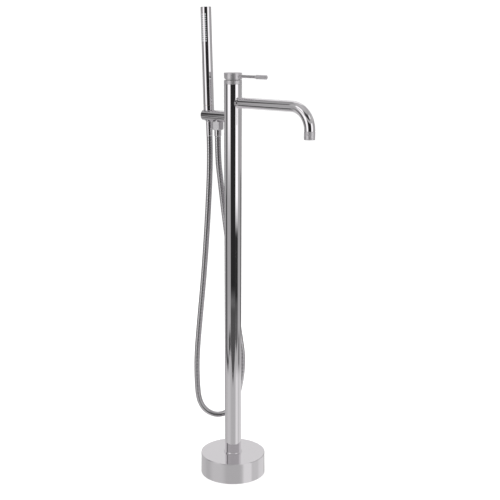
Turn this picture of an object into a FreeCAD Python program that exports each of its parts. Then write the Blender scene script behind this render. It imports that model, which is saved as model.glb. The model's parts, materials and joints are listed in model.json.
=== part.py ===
import FreeCAD, Part
import Sketcher
import math
import os
from FreeCAD import Placement, Rotation, Vector

# A floor standing bath filler: a round column on a drum-shaped foot, a lever on top, a spout over the
# bath, and a stick handset that stands in a holder arm on the other side.
# Frame: +Z up, the origin on the floor in the middle of the foot, +X towards the spout, the arm along -X.
# Millimetres.

os.makedirs("parts", exist_ok=True)
doc = FreeCAD.newDocument("bath_filler")

# ---------------------------------------------------------------------------------------------------
# Driving dimensions
# ---------------------------------------------------------------------------------------------------

DIMENSIONS = (
    ("column_radius", 20.0, "column tube, outside"),
    ("column_wall", 1.5, "column tube wall"),
    ("column_top", 937.4, "upper end of the column tube"),
    ("base_radius", 78.0, "foot cover, outside"),
    ("base_height", 51.0, "foot cover"),
    ("base_wall", 1.6, "foot cover wall"),
    ("base_edge", 1.2, "rounding of the foot cover's upper edge"),
    ("collar_radius", 21.8, "collar where the column enters the foot, outside"),
    ("collar_height", 3.2, "that collar above the foot cover"),
    ("flange_radius", 62.0, "floor flange"),
    ("flange_thick", 8.0, "floor flange"),
    ("socket_radius", 27.0, "socket on the flange that holds the column, outside"),
    ("socket_top", 34.0, "upper end of that socket"),
    ("bolt_circle", 50.0, "radius of the circle of floor bolts"),
    ("bolt_hole", 4.5, "radius of a floor bolt's hole"),
    ("clamp_height", 22.0, "screws that clamp the column in its socket"),
    ("clamp_radius", 3.0, "those screws"),
    ("block_radius", 18.4, "inlet block"),
    ("block_height", 44.0, "inlet block"),
    ("inlet_offset", 9.0, "hot and cold inlets from the middle"),
    ("inlet_radius", 7.5, "inlet thread, inside"),
    ("inlet_depth", 12.0, "inlet thread"),
    ("riser_radius", 5.0, "supply pipes inside the column"),
    ("riser_wall", 1.0, "supply pipe wall"),
    ("riser_side", 6.2, "supply pipes from the middle plane"),
    ("riser_back", 10.6, "supply pipes from the spout's plane"),
    ("riser_foot", 32.0, "lower end of the supply pipes"),
    ("valve_radius", 18.3, "valve body"),
    ("valve_foot", 848.0, "lower end of the valve body"),
    ("valve_shoulder", 927.0, "upper end of its wide part"),
    ("valve_top", 936.0, "upper end of its neck"),
    ("valve_neck", 16.2, "radius of its neck"),
    ("cartridge_foot", 910.0, "lower end of the mixing cartridge"),
    ("cartridge_shoulder", 930.0, "shoulder of the mixing cartridge"),
    ("cartridge_radius", 12.5, "mixing cartridge"),
    ("pivot_height", 934.0, "pin that the lever tilts about"),
    ("lift_angle", 15.0, "how far the lever lifts, degrees"),
    ("ring_top", 946.2, "upper face of the ring under the lever cap"),
    ("cap_foot", 947.7, "lower face of the lever cap"),
    ("cap_top", 962.0, "upper face of the lever cap"),
    ("lever_height", 954.9, "axis of the lever's rod"),
    ("lever_step", 67.0, "where the rod becomes the grip"),
    ("lever_reach", 96.3, "end of the grip"),
    ("rod_radius", 3.4, "lever rod"),
    ("grip_radius", 4.7, "lever grip"),
    ("spout_height", 897.0, "axis of the spout's level run"),
    ("spout_reach", 215.0, "axis of the outlet"),
    ("spout_radius", 11.8, "spout tube, outside"),
    ("spout_wall", 1.4, "spout tube wall"),
    ("spout_bend", 47.5, "radius of the spout's bend, on its axis"),
    ("spout_collar", 13.3, "collar where the spout leaves the column, outside"),
    ("outlet_foot", 830.0, "lower face of the outlet"),
    ("outlet_head", 848.0, "upper end of the outlet's ring"),
    ("arm_height", 864.5, "axis of the holder arm"),
    ("arm_radius", 12.4, "holder arm"),
    ("arm_end", 88.5, "end face of the holder arm"),
    ("holder_place", 73.2, "handset's seat from the column's axis"),
    ("holder_lean", 1.8, "the seat leans outwards, degrees"),
    ("outlet_place", 45.9, "hose outlet from the column's axis"),
    ("port_radius", 8.2, "threaded ports of the valve body"),
    ("diverter_height", 894.0, "axis of the diverter"),
    ("diverter_knob", 8.5, "radius of the diverter's knob"),
    ("handset_radius", 12.1, "stick handset"),
    ("handset_wall", 1.3, "its tube"),
    ("handset_seam", 23.0, "seam above its cone nut, along the handset from the arm's axis"),
    ("handset_top", 239.0, "upper end, along the handset from the arm's axis"),
    ("spray_middle", 194.0, "middle of the spray face, along the handset"),
    ("spray_length", 66.0, "spray face"),
    ("spray_width", 19.0, "spray face"),
    ("nozzle_pitch", 4.8, "from one row of nozzles to the next"),
    ("hose_radius", 7.0, "shower hose, outside"),
    ("hose_bore", 4.0, "shower hose, inside"),
    ("ferrule_length", 33.0, "sleeve at the handset's end of the hose"),
)

sheet = doc.addObject("Spreadsheet::Sheet", "Dimensions")


class Size:
    """A length of the object: its number, and the sheet expression that gives it."""

    def __init__(self, value, text):
        self.value = value
        self.text = text

    def joined(self, sign, other, value):
        return Size(value, "(%s %s %s)" % (self.text, sign, as_size(other).text))

    def __add__(self, other):
        return self.joined("+", other, self.value + as_size(other).value)

    def __sub__(self, other):
        return self.joined("-", other, self.value - as_size(other).value)

    def __mul__(self, other):
        return self.joined("*", other, self.value * as_size(other).value)

    def __truediv__(self, other):
        return self.joined("/", other, self.value / as_size(other).value)

    def __neg__(self):
        return Size(-self.value, "(0 - %s)" % self.text)

    def __radd__(self, other):
        return as_size(other) + self

    def __rsub__(self, other):
        return as_size(other) - self

    def __rmul__(self, other):
        return as_size(other) * self


def as_size(number):
    """A plain number as a Size, so that both can stand in a formula."""
    if isinstance(number, Size):
        return number
    return Size(float(number), "%.6g" % number)


class Sizes:
    """The driving dimensions by name."""


S = Sizes()
for row, (alias, value, meaning) in enumerate(DIMENSIONS, start=1):
    sheet.set("A%d" % row, meaning)
    sheet.set("B%d" % row, str(value))
    sheet.setAlias("B%d" % row, alias)
    setattr(S, alias, Size(value, "Dimensions." + alias))
doc.recompute()

# ---------------------------------------------------------------------------------------------------
# Ways of making a piece
# ---------------------------------------------------------------------------------------------------

# The turn that lays a piece made along +Z along another direction
TURNS = {
    "+Z": Rotation(),
    "-Z": Rotation(Vector(1, 0, 0), 180),
    "+X": Rotation(Vector(0, 1, 0), 90),
    "-X": Rotation(Vector(0, 1, 0), -90),
    "+Y": Rotation(Vector(1, 0, 0), -90),
    "-Y": Rotation(Vector(1, 0, 0), 90),
}

subparts = []


def node(piece, label):
    """Name a finished piece and list it for export."""
    piece.Label = label
    subparts.append(piece)
    return piece


def bind(thing, setting, size):
    thing.setExpression(setting, as_size(size).text)


def put(thing, place, direction="+Z"):
    """Turn a piece to its direction and tie its place to the sheet."""
    thing.Placement = Placement(Vector(), TURNS[direction])
    for axis, size in zip("xyz", place):
        bind(thing, "Placement.Base." + axis, size)
    return thing


def rod(name, radius, length, place=(0, 0, 0), direction="+Z"):
    piece = doc.addObject("Part::Cylinder", name)
    bind(piece, "Radius", radius)
    bind(piece, "Height", length)
    return put(piece, place, direction)


def taper(name, foot_radius, head_radius, length, place=(0, 0, 0), direction="+Z"):
    piece = doc.addObject("Part::Cone", name)
    bind(piece, "Radius1", foot_radius)
    bind(piece, "Radius2", head_radius)
    bind(piece, "Height", length)
    return put(piece, place, direction)


def block(name, length, width, height, place):
    """A box whose foot is centred on its place."""
    piece = doc.addObject("Part::Box", name)
    bind(piece, "Length", length)
    bind(piece, "Width", width)
    bind(piece, "Height", height)
    half_length = as_size(length) / 2
    half_width = as_size(width) / 2
    corner = (as_size(place[0]) - half_length, as_size(place[1]) - half_width, place[2])
    return put(piece, corner)


def hexagon(name, across_flats, height, place, direction="+Z"):
    piece = doc.addObject("Part::Prism", name)
    piece.Polygon = 6
    piece.Circumradius = across_flats / math.sqrt(3)
    piece.Height = height
    return put(piece, place, direction)


def cut(name, base, tools):
    """Take the tools away from the base, one after the other."""
    for tool in tools:
        piece = doc.addObject("Part::Cut", name)
        piece.Base = base
        piece.Tool = tool
        base = piece
    return base


def join(name, pieces):
    piece = doc.addObject("Part::MultiFuse", name)
    piece.Shapes = pieces
    return piece


def overlap(name, first, second):
    piece = doc.addObject("Part::MultiCommon", name)
    piece.Shapes = [first, second]
    return piece


def group(name, pieces):
    """Loose solids that share one node."""
    piece = doc.addObject("Part::Compound", name)
    piece.Links = pieces
    return piece


def new_body(name):
    return doc.addObject("PartDesign::Body", name)


def sketch_on(body, name, role, offset=0):
    """A sketch on one of the body's own origin planes, moved along the plane's normal."""
    sketch = body.newObject("Sketcher::SketchObject", name)
    plane = next(item for item in body.Origin.OriginFeatures if item.Role == role)
    sketch.AttachmentSupport = [(plane, "")]
    sketch.MapMode = "FlatFace"
    bind(sketch, "AttachmentOffset.Base.z", offset)
    return sketch


def hold_point(sketch, edge, end, across, up):
    """Tie one point of a sketch to its place."""
    for kind, size, other_axis in (("DistanceX", across, -2), ("DistanceY", up, -1)):
        size = as_size(size)
        if abs(size.value) < 1e-9:
            sketch.addConstraint(Sketcher.Constraint("PointOnObject", edge, end, other_axis))
        else:
            index = sketch.addConstraint(Sketcher.Constraint(kind, -1, 1, edge, end, size.value))
            bind(sketch, "Constraints[%d]" % index, size)


def outline(sketch, corners):
    """A closed outline of straight edges through the corners."""
    spots = [Vector(as_size(across).value, as_size(up).value, 0) for across, up in corners]
    count = len(spots)
    for index in range(count):
        sketch.addGeometry(Part.LineSegment(spots[index], spots[(index + 1) % count]), False)
    for index in range(count):
        sketch.addConstraint(Sketcher.Constraint("Coincident", index, 2, (index + 1) % count, 1))
    for index, (across, up) in enumerate(corners):
        hold_point(sketch, index, 1, across, up)


def circle(sketch, across, up, radius):
    radius = as_size(radius)
    middle = Vector(as_size(across).value, as_size(up).value, 0)
    edge = sketch.addGeometry(Part.Circle(middle, Vector(0, 0, 1), radius.value), False)
    index = sketch.addConstraint(Sketcher.Constraint("Radius", edge, radius.value))
    bind(sketch, "Constraints[%d]" % index, radius)
    hold_point(sketch, edge, 3, across, up)


def lathe(name, corners):
    """A turned piece: an outline of (radius, height) corners revolved about Z."""
    body = new_body(name)
    profile = sketch_on(body, name + "_profile", "XZ_Plane")
    outline(profile, corners)
    turned = body.newObject("PartDesign::Revolution", name + "_turned")
    turned.Profile = profile
    turned.ReferenceAxis = (profile, ["V_Axis"])
    turned.Angle = 360
    return body


def drill(body, name, role, across, up, radius, depth, backwards):
    """A round hole that starts on one of the body's origin planes."""
    mark = sketch_on(body, name + "_mark", role)
    circle(mark, across, up, radius)
    hole = body.newObject("PartDesign::Pocket", name)
    hole.Profile = mark
    bind(hole, "Length", depth)
    hole.Reversed = backwards
    return hole


def repeat_round(body, name, feature, count):
    """Repeat a feature evenly round the body's Z axis."""
    axis = next(item for item in body.Origin.OriginFeatures if item.Role == "Z_Axis")
    pattern = body.newObject("PartDesign::PolarPattern", name)
    pattern.Originals = [feature]
    pattern.Axis = (axis, [""])
    pattern.Angle = 360
    pattern.Occurrences = count
    body.Tip = pattern
    return pattern


def round_rim(body, name, rim_radius, rim_height, rounding):
    """Round the circular edge that has this radius and height."""
    doc.recompute()
    before = body.Tip
    rims = []
    for index, edge in enumerate(before.Shape.Edges, start=1):
        if not isinstance(edge.Curve, Part.Circle):
            continue
        same_radius = abs(edge.Curve.Radius - rim_radius.value) < 0.01
        same_height = abs(edge.Curve.Center.z - rim_height.value) < 0.01
        if same_radius and same_height:
            rims.append("Edge%d" % index)
    fillet = body.newObject("PartDesign::Fillet", name)
    fillet.Base = (before, rims)
    bind(fillet, "Radius", rounding)
    return fillet


# ---------------------------------------------------------------------------------------------------
# Foot
# ---------------------------------------------------------------------------------------------------

bore_radius = S.column_radius - S.column_wall
socket_bore = S.column_radius + 0.05
flange_bore = S.block_radius + 0.1

# Floor flange: a disc with a socket that the column stands in
flange = lathe("flange", (
    (flange_bore, 0),
    (S.flange_radius, 0),
    (S.flange_radius, S.flange_thick - 1),
    (S.flange_radius - 1, S.flange_thick),
    (S.socket_radius + 5, S.flange_thick),
    (S.socket_radius, S.flange_thick + 5),
    (S.socket_radius, S.socket_top - 1),
    (S.socket_radius - 1, S.socket_top),
    (socket_bore, S.socket_top),
    (socket_bore, S.flange_thick),
    (flange_bore, S.flange_thick),
))
bolt_hole = drill(flange, "bolt_hole", "XY_Plane", S.bolt_circle * math.cos(math.pi / 4),
                  S.bolt_circle * math.sin(math.pi / 4), S.bolt_hole, S.flange_thick, True)
repeat_round(flange, "bolt_holes", bolt_hole, 4)
clamp_hole = drill(flange, "clamp_hole", "XZ_Plane", 0, S.clamp_height, S.clamp_radius,
                   S.socket_radius + 2, False)
repeat_round(flange, "clamp_holes", clamp_hole, 3)
node(flange, "floor_flange")

# Set screws that clamp the column: flat points, hexagon sockets
screw_length = S.socket_radius - socket_bore
screw_play = 0.05
screw_key = 3.0
clamp_screws = []
for index in range(3):
    shank = rod("clamp_shank%d" % index, S.clamp_radius - screw_play, screw_length)
    recess = hexagon("clamp_recess%d" % index, screw_key, screw_key, (0, 0, screw_length - screw_key))
    screw = cut("clamp_screw%d" % index, shank, [recess])
    angle = math.radians(90 + 120 * index)
    outwards = Vector(math.cos(angle), math.sin(angle), 0)
    screw.Placement = Placement(Vector(), Rotation(Vector(0, 0, 1), outwards))
    bind(screw, "Placement.Base.x", socket_bore * math.cos(angle))
    bind(screw, "Placement.Base.y", socket_bore * math.sin(angle))
    bind(screw, "Placement.Base.z", S.clamp_height)
    clamp_screws.append(screw)
node(group("clamp_screws", clamp_screws), "column_clamp_screws")

# Foot cover: a drum that hides the flange, open underneath, with a hole for the column
cover = lathe("cover", (
    (S.base_radius - S.base_wall, 0),
    (S.base_radius, 0),
    (S.base_radius, S.base_height),
    (S.column_radius + 0.4, S.base_height),
    (S.column_radius + 0.4, S.base_height - S.base_wall),
    (S.base_radius - S.base_wall, S.base_height - S.base_wall),
))
round_rim(cover, "cover_edge", S.base_radius, S.base_height, S.base_edge)
node(cover, "base_cover")

# Collar round the column where it enters the foot
collar = lathe("collar", (
    (S.column_radius, S.base_height),
    (S.collar_radius, S.base_height),
    (S.collar_radius, S.base_height + S.collar_height - 1),
    (S.collar_radius - 0.8, S.base_height + S.collar_height),
    (S.column_radius, S.base_height + S.collar_height),
))
node(collar, "foot_collar")

# Inlet block: the hot and cold supplies screw into it from below, the riser pipes stand in it
check_bore = 6.0
check_height = 10.0
washer_bore = 8.0
washer_thick = 2.0
washer_seat = S.inlet_depth + 3
check_depth = washer_seat + 14
cross_way_radius = 2.4
block_tools = []
for side, sign in (("hot", 1), ("cold", -1)):
    inlet_x = S.inlet_offset * sign
    riser_x = S.riser_side * sign
    block_tools.append(rod("inlet_thread_" + side, S.inlet_radius, S.inlet_depth, (inlet_x, 0, 0)))
    block_tools.append(rod("washer_bore_" + side, washer_bore, washer_seat - S.inlet_depth,
                           (inlet_x, 0, S.inlet_depth)))
    block_tools.append(rod("check_bore_" + side, check_bore, check_depth, (inlet_x, 0, 0)))
    block_tools.append(rod("riser_socket_" + side, S.riser_radius, S.block_height,
                           (riser_x, -S.riser_back, S.riser_foot)))
    way_foot = Vector(riser_x.value, -S.riser_back.value, S.riser_foot.value + 1)
    way_head = Vector(inlet_x.value * 0.95, -2.0, check_depth.value - 5)
    way = doc.addObject("Part::Cylinder", "cross_way_" + side)
    way.Radius = cross_way_radius
    way.Height = (way_head - way_foot).Length
    way.Placement = Placement(way_foot, Rotation(Vector(0, 0, 1), way_head - way_foot))
    block_tools.append(way)
inlet_block = cut("inlet_block_bored", rod("inlet_block_blank", S.block_radius, S.block_height), block_tools)
node(inlet_block, "inlet_block")

# Non-return valves and filter washers, one of each for hot and cold
for kind, radius, inner, foot, height in (
        ("inlet_check_valves", check_bore, 3.4, washer_seat, check_height),
        ("inlet_filter_washers", washer_bore, 4.6, washer_seat - washer_thick, washer_thick)):
    pair = []
    for side, sign in (("hot", 1), ("cold", -1)):
        place = (S.inlet_offset * sign, 0, foot)
        outside = rod(kind + "_outside_" + side, radius, height, place)
        inside = rod(kind + "_inside_" + side, inner, height, place)
        pair.append(cut("%s_%s" % (kind, side), outside, [inside]))
    node(group(kind, pair), kind)

# ---------------------------------------------------------------------------------------------------
# Column and what it holds
# ---------------------------------------------------------------------------------------------------

tube_blank = rod("column_blank", S.column_radius, S.column_top - S.flange_thick, (0, 0, S.flange_thick))
column = cut("column_cut", tube_blank, [
    rod("column_bore", bore_radius, S.column_top, (0, 0, 0)),
    rod("spout_way", S.spout_radius, S.column_radius + 5, (0, 0, S.spout_height), "+X"),
    rod("arm_way", S.port_radius, S.column_radius + 5, (0, 0, S.arm_height), "-X"),
    rod("diverter_way", S.port_radius, S.column_radius + 5, (0, 0, S.diverter_height), "+Y"),
])
node(column, "column_tube")

# Riser pipes
riser_depth = 12.0
riser_length = S.valve_foot + riser_depth - S.riser_foot
for side, sign in (("hot", 1), ("cold", -1)):
    place = (S.riser_side * sign, -S.riser_back, S.riser_foot)
    outside = rod(side + "_riser_outside", S.riser_radius, riser_length, place)
    inside = rod(side + "_riser_inside", S.riser_radius - S.riser_wall, riser_length, place)
    node(cut(side + "_riser_pipe", outside, [inside]), side + "_riser")

# Valve body: two riser sockets, a mixed-water bore, ports for spout, arm and diverter, a cartridge seat
mixed_bore = 5.0
supply_bore = 2.8
nut_thread = 14.2
spout_seat = 15.6
diverter_seat = 6.5
diverter_shoulder = 12.0
valve_tools = [
    rod("cartridge_seat", S.cartridge_radius, S.valve_top - S.cartridge_foot + 1, (0, 0, S.cartridge_foot)),
    rod("nut_thread", nut_thread, S.valve_top - S.cartridge_shoulder + 1, (0, 0, S.cartridge_shoulder)),
    rod("mixed_way", mixed_bore, S.cartridge_foot - S.arm_height + 6, (0, 0, S.arm_height - 6)),
    rod("spout_port", S.port_radius, S.column_radius, (0, 0, S.spout_height), "+X"),
    rod("spout_face", S.spout_radius, S.column_radius, (spout_seat, 0, S.spout_height), "+X"),
    rod("arm_port", S.port_radius - 0.2, S.column_radius, (0, 0, S.arm_height), "-X"),
    rod("diverter_seat", diverter_seat, S.column_radius + 8, (0, -8, S.diverter_height), "+Y"),
    rod("diverter_port", S.port_radius - 0.2, S.column_radius,
        (0, diverter_shoulder, S.diverter_height), "+Y"),
]
for side, sign in (("hot", 1), ("cold", -1)):
    x = S.riser_side * sign
    valve_tools.append(rod("valve_socket_" + side, S.riser_radius, riser_depth + 1,
                           (x, -S.riser_back, S.valve_foot - 1)))
    valve_tools.append(rod("valve_way_" + side, supply_bore, S.cartridge_foot - S.valve_foot,
                           (x, -S.riser_back, S.valve_foot + 1)))
valve_blank = lathe("valve_blank", (
    (0, S.valve_foot),
    (S.valve_radius, S.valve_foot),
    (S.valve_radius, S.valve_shoulder),
    (S.valve_neck, S.valve_shoulder),
    (S.valve_neck, S.valve_top),
    (0, S.valve_top),
))
node(cut("valve_body_cut", valve_blank, valve_tools), "valve_body")

# ---------------------------------------------------------------------------------------------------
# Lever and mixing cartridge
# ---------------------------------------------------------------------------------------------------

neck_radius = 9.3
turret_radius = 8.5
turret_foot = S.pivot_height - 7.7
turret_top = S.pivot_height + 5.5
stem_width = 7.0

cartridge = lathe("cartridge", (
    (0, S.cartridge_foot),
    (S.cartridge_radius, S.cartridge_foot),
    (S.cartridge_radius, S.cartridge_shoulder),
    (neck_radius, S.cartridge_shoulder),
    (neck_radius, S.cartridge_shoulder + 5),
    (turret_radius + 0.1, S.cartridge_shoulder + 5),
    (turret_radius + 0.1, turret_foot - 0.3),
    (0, turret_foot - 0.3),
))
node(cartridge, "cartridge_housing")

# Nut that holds the cartridge down: a threaded skirt below a hexagon
nut_skirt = rod("nut_skirt", nut_thread, S.valve_top - S.cartridge_shoulder, (0, 0, S.cartridge_shoulder))
nut_head = hexagon("nut_head", 26, 6, (0, 0, S.valve_top))
nut_bore = rod("nut_bore", neck_radius, 14, (0, 0, S.cartridge_shoulder - 1))
nut_blank = join("cartridge_nut_blank", [nut_skirt, nut_head])
node(cut("cartridge_nut_cut", nut_blank, [nut_bore]), "cartridge_nut")

# Ring between the column and the lever cap
head_ring = lathe("head_ring_body", (
    (S.valve_neck + 0.1, S.valve_shoulder + 0.5),
    (bore_radius - 0.1, S.valve_shoulder + 0.5),
    (bore_radius - 0.1, S.column_top),
    (S.column_radius - 0.4, S.column_top),
    (S.column_radius, S.column_top + 0.4),
    (S.column_radius, S.ring_top - 0.4),
    (S.column_radius - 0.4, S.ring_top),
    (S.valve_neck + 0.1, S.ring_top),
))
node(head_ring, "head_ring")

# Turret: turns with the lever, its slot lets the stem tilt
pin_radius = 1.5
turret_blank = rod("turret_blank", turret_radius, turret_top - turret_foot, (0, 0, turret_foot))
turret = cut("turret_cut", turret_blank, [
    block("turret_slot", 2 * turret_radius + 2, stem_width + 0.3, 20, (0, 0, S.pivot_height - 5)),
    rod("turret_pin_hole", pin_radius, 2 * turret_radius, (0, -turret_radius, S.pivot_height), "+Y"),
])
node(turret, "cartridge_turret")
node(rod("turret_pin", pin_radius, 2 * turret_radius - 1, (0, 0.5 - turret_radius, S.pivot_height), "+Y"),
     "turret_pin")

# Stem: square, hinged on the pin, ends inside the lever cap
stem = cut("stem_cut", block("stem_blank", stem_width, stem_width, S.cap_top - 5 - S.pivot_height + 3.5,
                             (0, 0, S.pivot_height - 3.5)),
           [rod("stem_pin_hole", pin_radius + 0.05, 20, (0, -10, S.pivot_height), "+Y")])
node(stem, "lever_stem")

# Lever cap: cut away at the back of its underside, so that it clears the ring when the lever is lifted
cap = lathe("cap", (
    (0, S.cap_foot + 3),
    (17, S.cap_foot + 3),
    (17, S.cap_foot),
    (S.column_radius, S.cap_foot),
    (S.column_radius, S.cap_top - 0.6),
    (S.column_radius - 0.6, S.cap_top),
    (0, S.cap_top),
))
clearance_above_pivot = S.ring_top - S.pivot_height + 0.4
slab_width = 60
slab_height = 20
back_cut = doc.addObject("Part::Box", "cap_back_cut")
back_cut.Length = slab_width
back_cut.Width = slab_width
back_cut.Height = slab_height
tilt = Rotation(Vector(0, 1, 0), S.lift_angle.value)
slab_corner = Vector(-slab_width / 2, -slab_width / 2, clearance_above_pivot.value - slab_height)
back_cut.Placement = Placement(Vector(0, 0, S.pivot_height.value) + tilt.multVec(slab_corner), tilt)
cap_cut = cut("cap_cut", cap, [
    back_cut,
    block("cap_square", stem_width, stem_width, S.cap_top - 5 - S.cap_foot, (0, 0, S.cap_foot)),
    rod("cap_rod_hole", S.rod_radius, 20, (8, 0, S.lever_height), "+X"),
    rod("cap_screw_hole", 2.5, 20, (-stem_width / 2, 0, S.lever_height), "-X"),
])
node(cap_cut, "lever_cap")

# Grub screw that fixes the cap to the stem, from the back
grub_blank = rod("grub_blank", 2.5, 6, (-stem_width / 2, 0, S.lever_height), "-X")
grub_recess = hexagon("grub_recess", 2.5, 3, (-stem_width / 2 - 3, 0, S.lever_height), "-X")
node(cut("grub_cut", grub_blank, [grub_recess]), "lever_grub_screw")

# Rod and grip, both lying along +X
spigot = 13.0
lever_rod = lathe("lever_rod_body", (
    (0, 8),
    (S.rod_radius, 8),
    (S.rod_radius, S.lever_step),
    (2.2, S.lever_step),
    (2.2, S.lever_step + spigot),
    (0, S.lever_step + spigot),
))
node(put(lever_rod, (0, 0, S.lever_height), "+X"), "lever_rod")
grip = lathe("lever_grip_body", (
    (2.2, S.lever_step),
    (S.grip_radius - 0.5, S.lever_step),
    (S.grip_radius, S.lever_step + 0.5),
    (S.grip_radius, S.lever_reach - 0.8),
    (S.grip_radius - 0.8, S.lever_reach),
    (0, S.lever_reach),
    (0, S.lever_step + spigot),
    (2.2, S.lever_step + spigot),
))
node(put(grip, (0, 0, S.lever_height), "+X"), "lever_grip")

# ---------------------------------------------------------------------------------------------------
# Spout
# ---------------------------------------------------------------------------------------------------

spout = new_body("spout_body")
path = sketch_on(spout, "spout_path", "XZ_Plane")
bend_start = S.spout_reach - S.spout_bend
bend_middle = Vector(bend_start.value, S.spout_height.value - S.spout_bend.value, 0)
path.addGeometry(Part.LineSegment(Vector(spout_seat, S.spout_height.value, 0),
                                  Vector(bend_start.value, S.spout_height.value, 0)), False)
path.addGeometry(Part.ArcOfCircle(Part.Circle(bend_middle, Vector(0, 0, 1), S.spout_bend.value),
                                  0, math.pi / 2), False)
path.addGeometry(Part.LineSegment(Vector(S.spout_reach.value, bend_middle.y, 0),
                                  Vector(S.spout_reach.value, S.outlet_head.value, 0)), False)
path.addConstraint(Sketcher.Constraint("Tangent", 0, 2, 1, 2))
path.addConstraint(Sketcher.Constraint("Tangent", 1, 1, 2, 1))
path.addConstraint(Sketcher.Constraint("Horizontal", 0))
path.addConstraint(Sketcher.Constraint("Vertical", 2))
hold_point(path, 0, 1, spout_seat, S.spout_height)
hold_point(path, 2, 2, S.spout_reach, S.outlet_head)
bend_index = path.addConstraint(Sketcher.Constraint("Radius", 1, S.spout_bend.value))
bind(path, "Constraints[%d]" % bend_index, S.spout_bend)
section = sketch_on(spout, "spout_section", "YZ_Plane", spout_seat)
circle(section, 0, S.spout_height, S.spout_radius)
circle(section, 0, S.spout_height, S.spout_radius - S.spout_wall)
spout_sweep = spout.newObject("PartDesign::AdditivePipe", "spout_pipe")
spout_sweep.Profile = section
spout_sweep.Spine = (path, ["Edge1", "Edge2", "Edge3"])
node(spout, "spout_tube")

# Nipple that screws the spout into the valve body, with a seal between them
spout_bore = S.spout_radius - S.spout_wall
nipple_bore = 5.6
nipple_start = 9.0
nipple = lathe("spout_nipple_body", (
    (nipple_bore, nipple_start),
    (S.port_radius, nipple_start),
    (S.port_radius, spout_seat),
    (spout_bore, spout_seat),
    (spout_bore, spout_seat + 12),
    (nipple_bore, spout_seat + 12),
))
node(put(nipple, (0, 0, S.spout_height), "+X"), "spout_nipple")

# Collar that hides the joint between spout and column, hollowed to sit on the column
collar_face = S.column_radius + 1.6
spout_collar = lathe("spout_collar_blank", (
    (S.spout_radius, 10),
    (S.spout_collar, 10),
    (S.spout_collar, collar_face - 0.6),
    (S.spout_collar - 0.6, collar_face),
    (S.spout_radius, collar_face),
))
put(spout_collar, (0, 0, S.spout_height), "+X")
collar_saddle = rod("collar_saddle", S.column_radius, 4 * S.spout_collar,
                    (0, 0, S.spout_height - 2 * S.spout_collar))
node(cut("spout_collar_cut", spout_collar, [collar_saddle]), "spout_collar")

# Outlet: a ring screwed into the tube, holding the aerator
aerator_radius = 9.3
aerator_hole = 1.2
outlet = lathe("outlet_ring", (
    (aerator_radius, S.outlet_foot),
    (S.spout_radius - 0.3, S.outlet_foot),
    (S.spout_radius + 0.1, S.outlet_foot + 0.4),
    (S.spout_radius + 0.1, S.outlet_head - 1),
    (S.spout_radius - 0.6, S.outlet_head - 0.6),
    (S.spout_radius - 0.6, S.outlet_head),
    (spout_bore, S.outlet_head),
    (spout_bore, S.outlet_head + 1.4),
    (spout_bore - 0.4, S.outlet_head + 1.4),
    (spout_bore - 0.4, S.outlet_head + 6),
    (7.5, S.outlet_head + 6),
    (7.5, S.outlet_head - 4),
    (aerator_radius, S.outlet_head - 4),
))
node(put(outlet, (S.spout_reach, 0, 0)), "outlet_ring")
aerator = new_body("aerator_body")
disc = sketch_on(aerator, "aerator_disc", "XY_Plane", S.outlet_foot + 2)
circle(disc, 0, 0, aerator_radius)
aerator_plate = aerator.newObject("PartDesign::Pad", "aerator_plate")
aerator_plate.Profile = disc
aerator_plate.Length = 8
for name, count, ring_radius in (("inner", 6, 3.6), ("outer", 12, 7.0)):
    hole = drill(aerator, name + "_hole", "XY_Plane", ring_radius, 0, aerator_hole, S.outlet_foot + 12, True)
    repeat_round(aerator, name + "_holes", hole, count)
node(put(aerator, (S.spout_reach, 0, 0)), "aerator_insert")
aerator_washer = lathe("aerator_washer", (
    (6.5, S.outlet_foot + 10),
    (aerator_radius, S.outlet_foot + 10),
    (aerator_radius, S.outlet_foot + 12),
    (6.5, S.outlet_foot + 12),
))
node(put(aerator_washer, (S.spout_reach, 0, 0)), "aerator_washer")

# ---------------------------------------------------------------------------------------------------
# Diverter, across the column behind the spout
# ---------------------------------------------------------------------------------------------------

spindle_radius = 3.0
spindle_bore = spindle_radius + 0.05
spindle_start = 5.3
spindle_end = 30.3
bonnet = lathe("diverter_bonnet", (
    (spindle_bore, diverter_shoulder),
    (S.port_radius - 0.2, diverter_shoulder),
    (S.port_radius - 0.2, S.column_radius + 1),
    (spindle_bore, S.column_radius + 1),
))
node(put(bonnet, (0, 0, S.diverter_height), "+Y"), "diverter_bonnet")
diverter_core = lathe("diverter_core", (
    (0, -7),
    (diverter_seat, -7),
    (diverter_seat, diverter_shoulder),
    (spindle_bore, diverter_shoulder),
    (spindle_bore, spindle_start - 0.3),
    (0, spindle_start - 0.3),
))
node(put(diverter_core, (0, 0, S.diverter_height), "+Y"), "diverter_cartridge")
spindle = rod("diverter_spindle_rod", spindle_radius, spindle_end - spindle_start,
              (0, spindle_start, S.diverter_height), "+Y")
node(spindle, "diverter_spindle")
knob_foot = S.column_radius + 1.4
knob_top = S.column_radius + 16
knob = lathe("diverter_knob_body", (
    (spindle_radius, knob_foot),
    (S.diverter_knob, knob_foot),
    (S.diverter_knob, knob_top - 0.8),
    (S.diverter_knob - 0.8, knob_top),
    (0, knob_top),
    (0, spindle_end),
    (spindle_radius, spindle_end),
))
put(knob, (0, 0, S.diverter_height), "+Y")
pointer = block("knob_pointer", 1.2, 2, S.diverter_knob, (0, knob_top, S.diverter_height + 2))
node(cut("diverter_knob_cut", knob, [pointer]), "diverter_knob")

# ---------------------------------------------------------------------------------------------------
# Holder arm
# ---------------------------------------------------------------------------------------------------

lean = Rotation(Vector(0, 1, 0), -S.holder_lean.value)
seat_point = Vector(-S.holder_place.value, 0, S.arm_height.value)


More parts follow.
